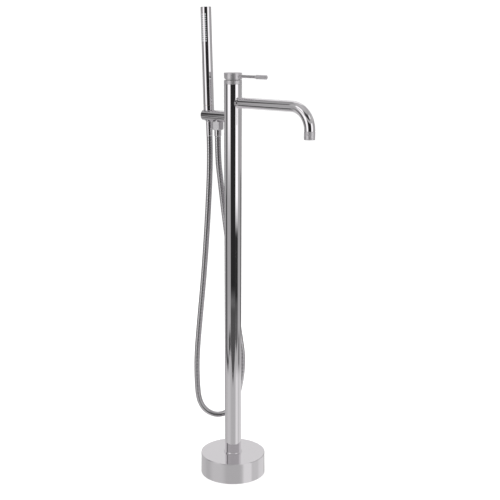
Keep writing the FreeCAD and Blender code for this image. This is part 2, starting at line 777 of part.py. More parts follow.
def lean_out(piece, along=0):
    """Lay a piece made along +Z along the handset's axis, its origin this far above the arm's axis."""
    piece.Placement = Placement(Vector(), lean)
    step = lean.multVec(Vector(0, 0, along))
    bind(piece, "Placement.Base.x", step.x - S.holder_place)
    bind(piece, "Placement.Base.z", step.z + S.arm_height)
    return piece


seat_height = 10.7
seat_radius = 13.2
bush_reach = 14.0
bush_top = 10.7
bush_foot = 9.4
bush_wall = 1.2
arm_bore = 4.5
arm_nipple_start = 8.0
arm_nipple_end = 36.0
outlet_face = S.arm_height - 11.5
outlet_thread = 7.5
outlet_flat_radius = 14.0


def bush_cone(name, inset):
    """The holder's cone, this far inside its outer face."""
    return lean_out(taper(name, bush_foot - inset, bush_top - inset, 2 * bush_reach), -bush_reach)


def seat_cut(name):
    """The level of the handset's seat: what is above it goes."""
    return lean_out(rod(name, seat_radius, 6), seat_height)


arm_blank = lathe("arm_blank", (
    (0, 5),
    (S.arm_radius, 5),
    (S.arm_radius, S.arm_end - 0.8),
    (S.arm_radius - 0.8, S.arm_end),
    (0, S.arm_end),
))
put(arm_blank, (0, 0, S.arm_height), "-X")
arm = cut("arm_cut", arm_blank, [
    rod("arm_saddle", S.column_radius, 3 * S.arm_radius, (0, 0, S.arm_height - 1.5 * S.arm_radius)),
    rod("arm_thread", S.port_radius - 0.2, arm_nipple_end, (0, 0, S.arm_height), "-X"),
    rod("arm_way_inside", arm_bore, S.outlet_place + 4, (0, 0, S.arm_height), "-X"),
    rod("outlet_thread", outlet_thread, S.arm_radius, (-S.outlet_place, 0, S.arm_height), "-Z"),
    rod("outlet_flat", outlet_flat_radius, 3, (-S.outlet_place, 0, outlet_face), "-Z"),
    bush_cone("cone_way", 0),
    seat_cut("arm_seat"),
])
node(arm, "holder_arm")

# Plastic bush in the holder, trimmed to the arm's outline
bush_shell = cut("bush_shell", bush_cone("bush_outside", 0), [bush_cone("bush_inside", bush_wall)])
bush_room_blank = rod("bush_room_blank", S.arm_radius, S.arm_end, (0, 0, S.arm_height), "-X")
bush_room = cut("bush_room", bush_room_blank, [seat_cut("bush_seat")])
node(overlap("bush_trimmed", bush_shell, bush_room), "holder_bush")

# Nipple between the valve body and the arm
arm_nipple = lathe("arm_nipple_body", (
    (arm_bore, arm_nipple_start),
    (S.port_radius - 0.2, arm_nipple_start),
    (S.port_radius - 0.2, arm_nipple_end),
    (arm_bore, arm_nipple_end),
))
node(put(arm_nipple, (0, 0, S.arm_height), "-X"), "arm_nipple")

# Hose outlet under the arm: nipple, washer, hexagon nut and the sleeve on the hose
hose_thread = 10.2
nipple_foot = outlet_face - 13
washer_foot = nipple_foot - 2
outlet_nipple = lathe("outlet_nipple_body", (
    (arm_bore, nipple_foot),
    (hose_thread, nipple_foot),
    (hose_thread, outlet_face),
    (outlet_thread, outlet_face),
    (outlet_thread, outlet_face + 6),
    (arm_bore, outlet_face + 6),
))
node(put(outlet_nipple, (-S.outlet_place, 0, 0)), "outlet_nipple")
hose_washer = lathe("hose_washer_body", (
    (5.5, washer_foot),
    (hose_thread - 0.2, washer_foot),
    (hose_thread - 0.2, nipple_foot),
    (5.5, nipple_foot),
))
node(put(hose_washer, (-S.outlet_place, 0, 0)), "hose_washer")
nut_foot = outlet_face - 19.4
nut_length = 19.1
nut_flats = 24.0
nut_corner = 13.9
nut_turn = 20.0
nut_hole = 8.3
nut_hexagon = hexagon("hose_nut_hexagon", nut_flats, nut_length, (-S.outlet_place, 0, nut_foot))
nut_hexagon.Placement.Rotation = Rotation(Vector(0, 0, 1), nut_turn)
nut_limits = lathe("hose_nut_limits", (
    (nut_hole, nut_foot),
    (nut_corner - 2.5, nut_foot),
    (nut_corner, nut_foot + 2.4),
    (nut_corner, nut_foot + nut_length - 1.9),
    (nut_corner - 2.3, nut_foot + nut_length),
    (hose_thread, nut_foot + nut_length),
    (hose_thread, nut_foot + 2.4),
    (nut_hole, nut_foot + 2.4),
))
put(nut_limits, (-S.outlet_place, 0, 0))
node(overlap("hose_nut_body", nut_hexagon, nut_limits), "hose_nut")
sleeve_foot = outlet_face - 34
sleeve_radius = 8.0
outlet_sleeve = lathe("outlet_sleeve_body", (
    (arm_bore, sleeve_foot),
    (sleeve_radius - 0.6, sleeve_foot),
    (sleeve_radius, sleeve_foot + 0.8),
    (sleeve_radius, washer_foot - 2),
    (hose_thread - 0.4, washer_foot - 2),
    (hose_thread - 0.4, washer_foot),
    (arm_bore, washer_foot),
))
node(put(outlet_sleeve, (-S.outlet_place, 0, 0)), "outlet_hose_sleeve")

# ---------------------------------------------------------------------------------------------------
# Handset, made along +Z from the arm's axis and leant out with its seat
# ---------------------------------------------------------------------------------------------------

cone_foot = -13.4
cone_top = 11.0
cone_thread = 10.3
swivel_radius = 5.5
swivel_end = cone_foot + 9
ferrule_radius = 7.3
sleeve_top = cone_foot - 0.3
sleeve_end = sleeve_top - S.ferrule_length
handset_sleeve = lathe("handset_sleeve_body", (
    (arm_bore, sleeve_end),
    (ferrule_radius - 0.5, sleeve_end),
    (ferrule_radius, sleeve_end + 0.8),
    (ferrule_radius, sleeve_top - 0.8),
    (ferrule_radius - 0.5, sleeve_top),
    (swivel_radius, sleeve_top),
    (swivel_radius, swivel_end),
    (arm_bore, swivel_end),
))
node(lean_out(handset_sleeve), "handset_hose_sleeve")

cone_nut = lathe("cone_nut_body", (
    (swivel_radius + 0.1, cone_foot),
    (7.9, cone_foot),
    (9.1, cone_top),
    (S.handset_radius - 0.5, cone_top),
    (S.handset_radius, cone_top + 0.5),
    (S.handset_radius, S.handset_seam - 0.3),
    (S.handset_radius - 0.3, S.handset_seam),
    (cone_thread, S.handset_seam),
    (cone_thread, cone_top + 1),
    (6.5, cone_top + 1),
    (6.5, swivel_end + 0.5),
    (swivel_radius + 0.1, swivel_end + 0.5),
))
node(lean_out(cone_nut), "cone_nut")
handset_bore = 6.0
connector_foot = cone_top + 3
cone_washer = lathe("cone_washer_body", (
    (handset_bore, cone_top + 1),
    (cone_thread - 0.1, cone_top + 1),
    (cone_thread - 0.1, connector_foot),
    (handset_bore, connector_foot),
))
node(lean_out(cone_washer), "cone_washer")

# Connector: its thread screws into the cone nut, its head plugs the handset's tube
tube_bore = S.handset_radius - S.handset_wall
tube_foot = S.handset_seam + 0.4
tube_top = S.handset_top - 3
connector = lathe("handset_connector_body", (
    (handset_bore, connector_foot),
    (cone_thread, connector_foot),
    (cone_thread, tube_foot),
    (tube_bore, tube_foot),
    (tube_bore, S.handset_seam + 12),
    (handset_bore, S.handset_seam + 12),
))
node(lean_out(connector), "handset_connector")
spray_foot = S.spray_middle - S.spray_length / 2


def spray_window(name, width, length):
    """A slot-shaped window that faces -Y, centred on the spray face."""
    end_radius = as_size(width) / 2
    straight = as_size(length) - width
    low = S.spray_middle - straight / 2
    slab = block(name + "_slab", width, 20, straight, (0, -15, low))
    foot_end = rod(name + "_foot", end_radius, 20, (0, -5, low), "-Y")
    head_end = rod(name + "_head", end_radius, 20, (0, -5, low + straight), "-Y")
    return join(name, [slab, foot_end, head_end])


tube_ring = cut("handset_tube_blank",
                rod("handset_outside", S.handset_radius, tube_top - tube_foot, (0, 0, tube_foot)),
                [rod("handset_inside", tube_bore, tube_top - tube_foot, (0, 0, tube_foot))])
tube_window = spray_window("tube_window", S.spray_width, S.spray_length)
node(lean_out(cut("handset_tube_cut", tube_ring, [tube_window])), "handset_tube")

end_cap = lathe("handset_end_body", (
    (0, tube_top - 8),
    (tube_bore, tube_top - 8),
    (tube_bore, tube_top),
    (S.handset_radius - 0.3, tube_top),
    (S.handset_radius, tube_top + 0.3),
    (S.handset_radius, S.handset_top - 0.5),
    (S.handset_radius - 0.5, S.handset_top),
    (0, S.handset_top),
))
node(lean_out(end_cap), "handset_end_cap")

# Spray face: a curved plate in the tube's window, with a hole for each nozzle
ROWS = 13
COLUMN_ANGLES = (-35, 0, 35)
nozzle_radius = 1.1
nozzle_mouth = 0.7
nozzle_length = 2.9
face_radius = S.handset_radius - 0.25
plate_back = tube_bore - 0.4
mat_wall = 1.2
plate_ring = cut("plate_ring", rod("plate_outside", face_radius, S.spray_length, (0, 0, spray_foot)),
                 [rod("plate_inside", plate_back, S.spray_length, (0, 0, spray_foot))])
face_plate = overlap("plate_trimmed", plate_ring, spray_window("plate_window", S.spray_width, S.spray_length))
nozzle_holes = []
nozzle_tips = []
for row in range(ROWS):
    height = S.spray_middle + S.nozzle_pitch * (row - (ROWS - 1) / 2)
    for column_index, angle in enumerate(COLUMN_ANGLES):
        outwards = Vector(math.sin(math.radians(angle)), -math.cos(math.radians(angle)), 0)
        facing = Rotation(Vector(0, 0, 1), outwards)
        hole = doc.addObject("Part::Cylinder", "nozzle_hole_%d_%d" % (row, column_index))
        hole.Radius = nozzle_radius
        hole.Height = 6
        hole.Placement = Placement(outwards * 8, facing)
        bind(hole, "Placement.Base.z", height)
        nozzle_holes.append(hole)
        tip = doc.addObject("Part::Cone", "nozzle_tip_%d_%d" % (row, column_index))
        tip.Radius1 = nozzle_radius
        tip.Radius2 = nozzle_mouth
        tip.Height = nozzle_length
        tip.Placement = Placement(outwards * 10, facing)
        bind(tip, "Placement.Base.z", height)
        nozzle_tips.append(tip)
spray_plate = cut("spray_plate_cut", face_plate, [join("nozzle_hole_field", nozzle_holes)])
node(lean_out(spray_plate), "spray_plate")

# Nozzle mat: one piece of soft silicone behind the plate, its tips come through the holes
mat_ring = cut("mat_ring", rod("mat_outside", plate_back, S.spray_length - 2, (0, 0, spray_foot + 1)),
               [rod("mat_inside", plate_back - mat_wall, S.spray_length - 2, (0, 0, spray_foot + 1))])
mat = overlap("mat_trimmed", mat_ring, spray_window("mat_window", S.spray_width - 1, S.spray_length - 2))
node(lean_out(join("nozzle_mat_body", [mat] + nozzle_tips)), "nozzle_mat")

# ---------------------------------------------------------------------------------------------------
# Shower hose: from the handset's sleeve down, round a loop behind the column, and up to the outlet
# ---------------------------------------------------------------------------------------------------

hose_start = seat_point + lean.multVec(Vector(0, 0, sleeve_end.value))
hose_leaves = seat_point + lean.multVec(Vector(0, 0, sleeve_end.value - 45))
hose_end = Vector(-S.outlet_place.value, 0, sleeve_foot.value)
ROUTE = (
    (-73.2, -1.2, 690),
    (-77.5, -6, 585),
    (-83, -12, 477),
    (-90, -20, 370),
    (-94.5, -26, 284),
    (-94.3, -26, 218),
    (-91.5, -23.5, 168),
    (-77.6, -12.1, 139.5),
    (-56.7, 5.1, 129),
    (-34.7, 23.1, 138),
    (-20.5, 34.9, 164),
    (-9.5, 43.5, 230),
    (-7, 45, 285),
    (-14, 37.5, 352),
    (-20, 30.5, 430),
    (-28.5, 21.5, 535),
    (-37, 11.5, 639),
    (-42, 4.5, 715),
)
hose_arrives = Vector(hose_end.x, 0, hose_end.z - 50)
route = [hose_start, hose_leaves] + [Vector(*point) for point in ROUTE] + [hose_arrives, hose_end]


def rounded_route(points):
    """Straight runs joined by tangent arcs as large as the runs allow."""
    edges = []
    radii = []
    reached = points[0]
    for before, corner, after in zip(points, points[1:], points[2:]):
        back = before - corner
        ahead = after - corner
        shorter = min(back.Length, ahead.Length)
        back.normalize()
        ahead.normalize()
        reach = 0.45 * shorter
        half_turn = (math.pi - back.getAngle(ahead)) / 2
        radius = reach / math.tan(half_turn)
        radii.append(radius)
        arc_start = corner + back * reach
        arc_end = corner + ahead * reach
        to_middle = (back + ahead).normalize()
        arc_middle = corner + to_middle * (radius / math.cos(half_turn) - radius)
        edges.append(Part.LineSegment(reached, arc_start).toShape())
        edges.append(Part.Arc(arc_start, arc_middle, arc_end).toShape())
        reached = arc_end
    edges.append(Part.LineSegment(reached, points[-1]).toShape())
    return Part.Wire(edges), radii


hose_line, hose_radii = rounded_route(route)
hose_direction = route[1] - route[0]


def hose_solid(radius):
    ring_edge = Part.Circle(route[0], hose_direction, radius).toShape()
    return hose_line.makePipeShell([Part.Wire([ring_edge])], True, False)


hose = doc.addObject("Part::Feature", "shower_hose_body")
hose.Shape = hose_solid(S.hose_radius.value).cut(hose_solid(S.hose_bore.value))
node(hose, "shower_hose")

# ---------------------------------------------------------------------------------------------------
# Check and export
# ---------------------------------------------------------------------------------------------------

doc.recompute()
for item in doc.Objects:
    if "Invalid" in item.State or "Error" in item.State:
        raise RuntimeError("failed: %s %s" % (item.Label, item.State))
    if item.TypeId == "PartDesign::Pocket" and item.Shape.Volume > item.BaseFeature.Shape.Volume - 1:
        raise RuntimeError("cuts nothing: " + item.Label)
for piece in subparts:
    if piece.Shape.isNull() or not piece.Shape.isValid():
        raise RuntimeError("bad shape: " + piece.Label)
    if not piece.Shape.Solids:
        raise RuntimeError("no solid: " + piece.Label)

hose_section = math.pi * (S.hose_radius.value ** 2 - S.hose_bore.value ** 2)
print("hose length %.0f mm, smallest bend radius %.0f mm" % (hose_line.Length, min(hose_radii)))
print("hose bend radii", ", ".join("%.0f" % radius for radius in hose_radii))
print("hose volume over section times length %.4f" % (hose.Shape.Volume / (hose_section * hose_line.Length)))

for piece in subparts:
    piece.Shape.exportStep("parts/%s.step" % piece.Label)
print(len(subparts), "sub-parts written")
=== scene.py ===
"""Finishes, shower hose and small parts of a floor standing bath filler, and the studio it stands in."""

import json
import math
from typing import NamedTuple

import bpy
from bpy.props import FloatProperty, FloatVectorProperty, IntProperty, PointerProperty
from mathutils import Matrix, Vector


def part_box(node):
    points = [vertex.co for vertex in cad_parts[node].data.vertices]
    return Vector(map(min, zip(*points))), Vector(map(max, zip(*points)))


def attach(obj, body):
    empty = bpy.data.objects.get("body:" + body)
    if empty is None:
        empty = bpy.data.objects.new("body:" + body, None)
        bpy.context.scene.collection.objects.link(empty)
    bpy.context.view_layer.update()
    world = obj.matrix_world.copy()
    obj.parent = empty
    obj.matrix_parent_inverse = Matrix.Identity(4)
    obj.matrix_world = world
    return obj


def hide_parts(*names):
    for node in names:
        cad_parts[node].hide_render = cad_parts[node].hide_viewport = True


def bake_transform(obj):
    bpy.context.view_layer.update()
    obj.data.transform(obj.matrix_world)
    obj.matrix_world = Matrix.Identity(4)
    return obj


bl_info = {
    "name": "Bath filler",
    "version": (1, 0, 0),
    "blender": (4, 5, 0),
    "location": "3D View > Sidebar > Bath filler",
    "description": "Chrome, shower hose, spray nozzles and studio of a floor standing bath filler",
    "category": "Object",
}

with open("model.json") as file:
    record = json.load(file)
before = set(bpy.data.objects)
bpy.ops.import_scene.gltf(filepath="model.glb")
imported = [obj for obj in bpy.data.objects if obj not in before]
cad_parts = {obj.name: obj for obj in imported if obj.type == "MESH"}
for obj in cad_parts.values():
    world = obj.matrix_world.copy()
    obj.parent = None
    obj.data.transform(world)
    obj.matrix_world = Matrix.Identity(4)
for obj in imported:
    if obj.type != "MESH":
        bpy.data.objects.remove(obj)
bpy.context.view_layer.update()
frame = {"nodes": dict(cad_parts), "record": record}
MM = 0.001
JOINTS = {joint["name"]: joint for joint in frame["record"]["behaviour"]["joints"]}
HANDSET_LEAN = math.degrees(math.asin(-JOINTS["handset_lift"]["axis"][0]))

# Middle line of the shower hose: out of the sleeve under the handset, down beside the column, round the
# loop behind it and up again into the outlet under the arm.
HOSE_ROUTE = (
    (-0.071733, 0.0, 0.817823),
    (-0.070320, 0.0, 0.772845),
    (-0.0732, -0.0012, 0.690),
    (-0.0775, -0.006, 0.585),
    (-0.083, -0.012, 0.477),
    (-0.090, -0.020, 0.370),
    (-0.0945, -0.026, 0.284),
    (-0.0943, -0.026, 0.218),
    (-0.0915, -0.0235, 0.168),
    (-0.0776, -0.0121, 0.1395),
    (-0.0567, 0.0051, 0.129),
    (-0.0347, 0.0231, 0.138),
    (-0.0205, 0.0349, 0.164),
    (-0.0095, 0.0435, 0.230),
    (-0.007, 0.045, 0.285),
    (-0.014, 0.0375, 0.352),
    (-0.020, 0.0305, 0.430),
    (-0.0285, 0.0215, 0.535),
    (-0.037, 0.0115, 0.639),
    (-0.042, 0.0045, 0.715),
    (-0.0459, 0.0, 0.769),
    (-0.0459, 0.0, 0.819),
)
HOSE_PARTING = Vector((-0.0295, 0.0274, 0.148))  # behind the column, where the two hose pieces meet

# Outside of a nozzle's lip from foot to rim: share of its radius, and share of its height.
LIP_TAPER = ((0.97, 0.28), (0.81, 0.70), (0.62, 0.96))
LIP_SIDES = 12
LIP_ROOT = 0.35 * MM  # how deep the lip starts inside the handset's skin


# ---------------------------------------------------------------------------------------------------
# Sizes and colours
# ---------------------------------------------------------------------------------------------------

def box_middle(node):
    """Middle of a part's box at rest."""
    low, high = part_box(node)
    return (low + high) / 2


def length_of(name, text, default):
    """A length that a user may change, in metres."""
    return FloatProperty(name=name, description=text, default=default, min=0.0, unit="LENGTH")


def angle_of(name, text, degrees):
    """An angle that a user may change, given in degrees."""
    return FloatProperty(name=name, description=text, default=math.radians(degrees), subtype="ANGLE")


def colour_of(name, text, shade):
    """A colour that a user may change, given as sRGB hex."""
    return FloatVectorProperty(name=name, description=text, default=linear(shade), subtype="COLOR",
                               size=4, min=0.0, max=1.0)


def linear(shade):
    """Linear red, green, blue and alpha of an sRGB hex colour."""
    parts = [int(shade[start:start + 2], 16) / 255 for start in (1, 3, 5)]
    return [part / 12.92 if part <= 0.04045 else ((part + 0.055) / 1.055) ** 2.4 for part in parts] + [1.0]


class HoseSizes(bpy.types.PropertyGroup):
    """Sizes of the wound metal hose."""
    diameter: length_of("Diameter", "Over the crests of the winding", 14.0 * MM)
    pitch: length_of("Pitch", "From one turn of the wound strip to the next", 3.6 * MM)
    groove: length_of("Groove", "Depth of the groove between two turns", 0.3 * MM)
    rings: IntProperty(name="Rings", description="Rings of mesh in each turn", default=5, min=3)
    sides: IntProperty(name="Sides", description="Mesh points round the hose", default=24, min=8)


class NozzleSizes(bpy.types.PropertyGroup):
    """Sizes of the soft spray nozzles."""
    rows: IntProperty(name="Rows", description="Rows of nozzles along the handset", default=13, min=1)
    columns: IntProperty(name="Columns", description="Nozzles side by side", default=3, min=1)
    pitch: length_of("Pitch", "From one row to the next", 4.8 * MM)
    radius: length_of("Radius", "Foot of one nozzle's lip", 1.25 * MM)
    opening: length_of("Opening", "Inner radius of the lip", 0.74 * MM)
    height: length_of("Height", "How far the lip stands out of the handset", 0.88 * MM)
    reach: length_of("Reach", "From the handset's axis to the foot of the lips", 12.0 * MM)
    fan: angle_of("Fan", "Angle between neighbouring columns", 35)
    lean: angle_of("Lean", "How far the handset leans outwards in its holder", HANDSET_LEAN)


class FinishColours(bpy.types.PropertyGroup):
    """Colours of the finishes."""
    chrome: colour_of("Chrome", "Polished chrome plate", "#EAE7EA")
    turned: colour_of("Turned chrome", "Chrome plate over a turned surface", "#E6E3E6")
    hose: colour_of("Hose chrome", "Chromed strip of the hose", "#DFDCDF")
    # Hose groove colour is painted shade: it darkens the recess between two turns of the strip, where shade
    # falls.
    groove: colour_of("Hose groove", "Grooves of the hose, dulled by soap and dust", "#84868A")
    brass: colour_of("Brass", "Machined brass", "#D9BE7A")
    stain: colour_of("Brass stain", "Darker stains on the brass", "#A98748")
    copper: colour_of("Copper", "Drawn copper pipe", "#C98A66")
    tarnish: colour_of("Copper tarnish", "Copper where hands have touched it", "#8A5A40")
    steel: colour_of("Steel", "Brushed stainless steel", "#C4C5C6")
    white: colour_of("White plastic", "Moulded acetal", "#E8E7E2")
    grey: colour_of("Grey plastic", "Moulded nylon", "#7E8184")
    rubber: colour_of("Rubber", "Moulded rubber", "#1E1E1F")
    silicone: colour_of("Silicone", "Soft clear silicone", "#BFC3C6")
    floor: colour_of("Floor", "Pale studio floor", "#FAFAFA")


class StudioSizes(bpy.types.PropertyGroup):
    """Camera and light of the studio."""
    camera_place: FloatVectorProperty(name="Camera", description="Where the camera stands", size=3,
                                      subtype="TRANSLATION", unit="LENGTH", default=(1.468, -1.677, 1.068))
    camera_turn: angle_of("Turn", "Camera's angle round the column", 41.2)
    camera_tilt: angle_of("Tilt", "How far the camera looks down", 15.42)
    lens: FloatProperty(name="Lens", description="Focal length in millimetres", default=70.64)
    shift: FloatVectorProperty(name="Shift", description="Camera shift that frames the filler", size=2,
                               default=(0.0341, 0.0874))
    floor_size: length_of("Floor", "Width of the floor", 40.0)
    lamp_place: FloatVectorProperty(name="Lamp", description="Where the lamp overhead hangs", size=3,
                                    subtype="TRANSLATION", unit="LENGTH", default=(0.3, -0.4, 3.2))
    lamp_width: length_of("Lamp width", "Width of the lamp overhead", 3.0)
    lamp_power: FloatProperty(name="Lamp power", description="Power of the lamp overhead", default=60.0,
                              unit="POWER")
    white_level: FloatProperty(name="White room", default=1.15,
                               description="Brightness of the room that all but metal sees")


GROUPS = {"filler_hose": HoseSizes, "filler_nozzles": NozzleSizes, "filler_finish": FinishColours,
          "filler_studio": StudioSizes}


# ---------------------------------------------------------------------------------------------------
# Nodes
# ---------------------------------------------------------------------------------------------------

MATH = "ShaderNodeMath"
VECTOR = "ShaderNodeVectorMath"
RANGE = "ShaderNodeMapRange"
SMOOTH = {"interpolation_type": "SMOOTHSTEP"}
MIX = "ShaderNodeMix"
FIRST, SECOND, MIXED = 6, 7, 2  # the two colours and the result of a Mix node that is set to colours


def wire(tree, node, inputs):
    """Gives a node's sockets, by name or in order, a constant or what feeds them. A node feeds with its
    first output."""
    for place, value in inputs.items() if isinstance(inputs, dict) else enumerate(inputs):
        source = value.outputs[0] if isinstance(value, bpy.types.Node) else value
        if isinstance(source, bpy.types.NodeSocket):
            tree.links.new(source, node.inputs[place])
        else:
            node.inputs[place].default_value = source


def add(tree, kind, inputs=(), **settings):
    """One node with its settings and its inputs."""
    node = tree.nodes.new(kind)
    for name, value in settings.items():
        setattr(node, name, value)
    wire(tree, node, inputs)
    return node


# ---------------------------------------------------------------------------------------------------
# Finishes
# ---------------------------------------------------------------------------------------------------

def finish(name, colour, metallic, roughness):
    """A new material: its tree, its shader and its object coordinates."""
    material = bpy.data.materials.new(name)
    material.use_nodes = True
    material.diffuse_color = colour
    tree = material.node_tree
    shader = tree.nodes["Principled BSDF"]
    wire(tree, shader, {"Base Color": colour, "Metallic": metallic, "Roughness": roughness})
    place = add(tree, "ShaderNodeTexCoord").outputs["Object"]
    return material, tree, shader, place


def speckle(tree, place, size, detail=2.0, stretch=(1, 1, 1)):
    """Soft noise whose grains are size metres across, longer along the axes of a small stretch."""
    scaled = add(tree, "ShaderNodeMapping", {"Vector": place, "Scale": stretch})
    return add(tree, "ShaderNodeTexNoise", {"Vector": scaled, "Scale": 1 / size, "Detail": detail})


def mirror_chrome():
    """Chrome plated over buffed brass: a mirror with faint buffing waves and a breath of haze."""
    material, tree, shader, place = finish("mirror_chrome", colours().chrome, 1.0, 0.04)
    haze = speckle(tree, place, 22 * MM)
    waves = speckle(tree, place, 35 * MM, 1.0)
    wire(tree, shader, {
        "Roughness": add(tree, RANGE, (haze, 0.3, 0.75, 0.015, 0.06), **SMOOTH),
        "Normal": add(tree, "ShaderNodeBump", {"Height": waves, "Distance": 0.02 * MM, "Strength": 0.5})})
    return material


def turned_chrome(name, centre, turn=(0.0, 0.0, 0.0), blur=0.42, feed=0.4 * MM, depth=0.01 * MM, ridge=None):
    """Chrome over a lathe-turned face: fine rings, which blur what it mirrors into soft bands. The tool's
    feed is about 0.1 mm, and it is drawn wider so that it shows. A ridge is the distance between the even
    grooves of a grip ring."""
    material, tree, shader, place = finish(name, colours().turned, 1.0, blur)
    settled = add(tree, "ShaderNodeMapping", {"Vector": place, "Location": centre, "Rotation": turn},
                  vector_type="TEXTURE")
    flat = add(tree, VECTOR, (settled, (1, 1, 0)), operation="MULTIPLY")
    across = add(tree, VECTOR, (flat,), operation="LENGTH").outputs["Value"]
    along = add(tree, "ShaderNodeSeparateXYZ", (settled,)).outputs["Z"]
    height = speckle(tree, add(tree, "ShaderNodeCombineXYZ", {"X": across, "Z": along}), feed, 1.0)
    uneven = add(tree, RANGE, (height, 0.3, 0.7, blur * 0.85, blur * 1.15), **SMOOTH)
    if ridge:
        phase = add(tree, MATH, (along, 2 * math.pi / ridge), operation="MULTIPLY")
        wave = add(tree, MATH, (phase,), operation="SINE")
        height = add(tree, MATH, (height, wave), operation="ADD")
    bump = add(tree, "ShaderNodeBump", {"Height": height, "Distance": depth, "Strength": 0.6})
    wire(tree, shader, {"Roughness": uneven, "Normal": bump})
    return material


def wound_chrome():
    """Chromed steel strip, wound and interlocked: bright crests, and grooves darkened with painted shade."""
    material, tree, shader, place = finish("wound_chrome", colours().hose, 1.0, 0.14)
    crest = add(tree, "ShaderNodeAttribute", attribute_name="crest").outputs["Fac"]
    unshaded_crest = add(tree, RANGE, (crest, 0.1, 0.9, 0.0, 1.0), **SMOOTH)
    wear = speckle(tree, place, 3 * MM)
    wire(tree, shader, {
        # Base colour turns to the groove colour down in each groove: painted shade in the recess between
        # turns.
        "Base Color": add(tree, MIX, {"Factor": unshaded_crest, FIRST: colours().groove, SECOND: colours().hose},
                          data_type="RGBA").outputs[MIXED],
        "Roughness": add(tree, RANGE, (wear, 0.3, 0.7, 0.05, 0.13), **SMOOTH)})
    return material


def machined_brass():
    """Brass straight from the lathe: yellow, with close tool marks and a few darker stains."""
    material, tree, shader, place = finish("machined_brass", colours().brass, 1.0, 0.3)
    marks = speckle(tree, place, 1.2 * MM, 2.0, (0.15, 0.15, 1))
    stained = add(tree, RANGE, (speckle(tree, place, 14 * MM), 0.45, 0.8, 0.0, 0.6), **SMOOTH)
    wire(tree, shader, {
        "Base Color": add(tree, MIX, {"Factor": stained, FIRST: colours().brass, SECOND: colours().stain},
                          data_type="RGBA").outputs[MIXED],
        "Roughness": add(tree, RANGE, (marks, 0.3, 0.7, 0.22, 0.4), **SMOOTH),
        "Normal": add(tree, "ShaderNodeBump", {"Height": marks, "Distance": 0.03 * MM, "Strength": 0.5})})
    return material


def drawn_copper():
    """Drawn copper pipe: warm pink, die lines along it, brown where hands have touched it."""
    material, tree, shader, place = finish("drawn_copper", colours().copper, 1.0, 0.28)
    lines = speckle(tree, place, 0.8 * MM, 2.0, (1, 1, 0.04))
    touched = add(tree, RANGE, (speckle(tree, place, 18 * MM, 3.0), 0.45, 0.7, 0.0, 0.8), **SMOOTH)
    wire(tree, shader, {
        "Base Color": add(tree, MIX, {"Factor": touched, FIRST: colours().copper, SECOND: colours().tarnish},
                          data_type="RGBA").outputs[MIXED],
        "Normal": add(tree, "ShaderNodeBump", {"Height": lines, "Distance": 0.02 * MM, "Strength": 0.5})})
    return material


def brushed_steel():
    """Brushed stainless steel: grey, with grit lines running one way."""
    material, tree, shader, place = finish("brushed_steel", colours().steel, 1.0, 0.32)
    lines = speckle(tree, place, 0.6 * MM, 3.0, (0.04, 1, 1))
    wire(tree, shader, {
        "Roughness": add(tree, RANGE, (lines, 0.3, 0.7, 0.24, 0.42), **SMOOTH),
        "Normal": add(tree, "ShaderNodeBump", {"Height": lines, "Distance": 0.02 * MM, "Strength": 0.5})})
    return material


def moulded(name, colour, roughness, grain, depth):
    """Injection moulded plastic or rubber: even colour, a fine spark-eroded grain, slightly uneven gloss."""
    material, tree, shader, place = finish(name, colour, 0.0, roughness)
    texture = speckle(tree, place, grain, 3.0)
    flow = speckle(tree, place, 12 * MM)
    wire(tree, shader, {
        "IOR": 1.49,
        "Roughness": add(tree, RANGE, (flow, 0.3, 0.7, roughness - 0.06, roughness + 0.08), **SMOOTH),
        "Normal": add(tree, "ShaderNodeBump", {"Height": texture, "Distance": depth, "Strength": 0.6})})
    return material


def soft_silicone():
    """Soft silicone of the nozzles: milky, a little see-through, with a waxy sheen."""
    material, tree, shader, place = finish("soft_silicone", colours().silicone, 0.0, 0.35)
    bloom = speckle(tree, place, 1.5 * MM)
    grain = speckle(tree, place, 0.5 * MM)
    wire(tree, shader, {
        "IOR": 1.41,
        "Subsurface Weight": 0.25,
        "Subsurface Scale": 1 * MM,
        "Subsurface Radius": (1.0, 1.0, 1.0),
        "Roughness": add(tree, RANGE, (bloom, 0.3, 0.7, 0.28, 0.45), **SMOOTH),
        "Normal": add(tree, "ShaderNodeBump", {"Height": grain, "Distance": 0.01 * MM, "Strength": 0.4})})
    return material


def pale_floor():
    """Matt painted floor of the studio, with a barely visible roller texture."""
    material, tree, shader, place = finish("pale_floor", colours().floor, 0.0, 0.75)
    texture = speckle(tree, place, 6 * MM, 3.0)
    wire(tree, shader, {
        "Normal": add(tree, "ShaderNodeBump", {"Height": texture, "Distance": 0.1 * MM, "Strength": 0.15})})
    return material


def colours():
    """The colours as the user has set them."""
    return bpy.context.scene.filler_finish


def material_of(name):
    """A finish made by the finishes operator."""
    return bpy.data.materials[name]


# ---------------------------------------------------------------------------------------------------
# Meshes
# ---------------------------------------------------------------------------------------------------

def show(name, data):
    """Puts a mesh, curve, lamp or camera in the scene at the origin."""
    piece = bpy.data.objects.new(name, data)
    bpy.context.scene.collection.objects.link(piece)
    return piece


def settle(piece):
    """Turns a piece with its modifiers into a plain mesh of its own name."""
    evaluated = piece.evaluated_get(bpy.context.evaluated_depsgraph_get())
    mesh = bpy.data.meshes.new_from_object(evaluated)
    piece.modifiers.clear()
    piece.data = mesh
    mesh.name = piece.name
    return piece


def read_curve(points):
    """Points of the smooth line that runs along those control points, as Blender draws it."""
    curve = bpy.data.curves.new("hose_line", "CURVE")
    curve.dimensions = "3D"
    curve.resolution_u = 16
    spline = curve.splines.new("NURBS")
    spline.points.add(len(points) - 1)
    for point, place in zip(spline.points, points):
        point.co = (*place, 1.0)
    spline.order_u = 3
    spline.use_endpoint_u = True
    line = show("hose_line", curve)
    mesh = bpy.data.meshes.new_from_object(line.evaluated_get(bpy.context.evaluated_depsgraph_get()))
    places = [vertex.co.copy() for vertex in mesh.vertices]
    bpy.data.objects.remove(line)
    return places


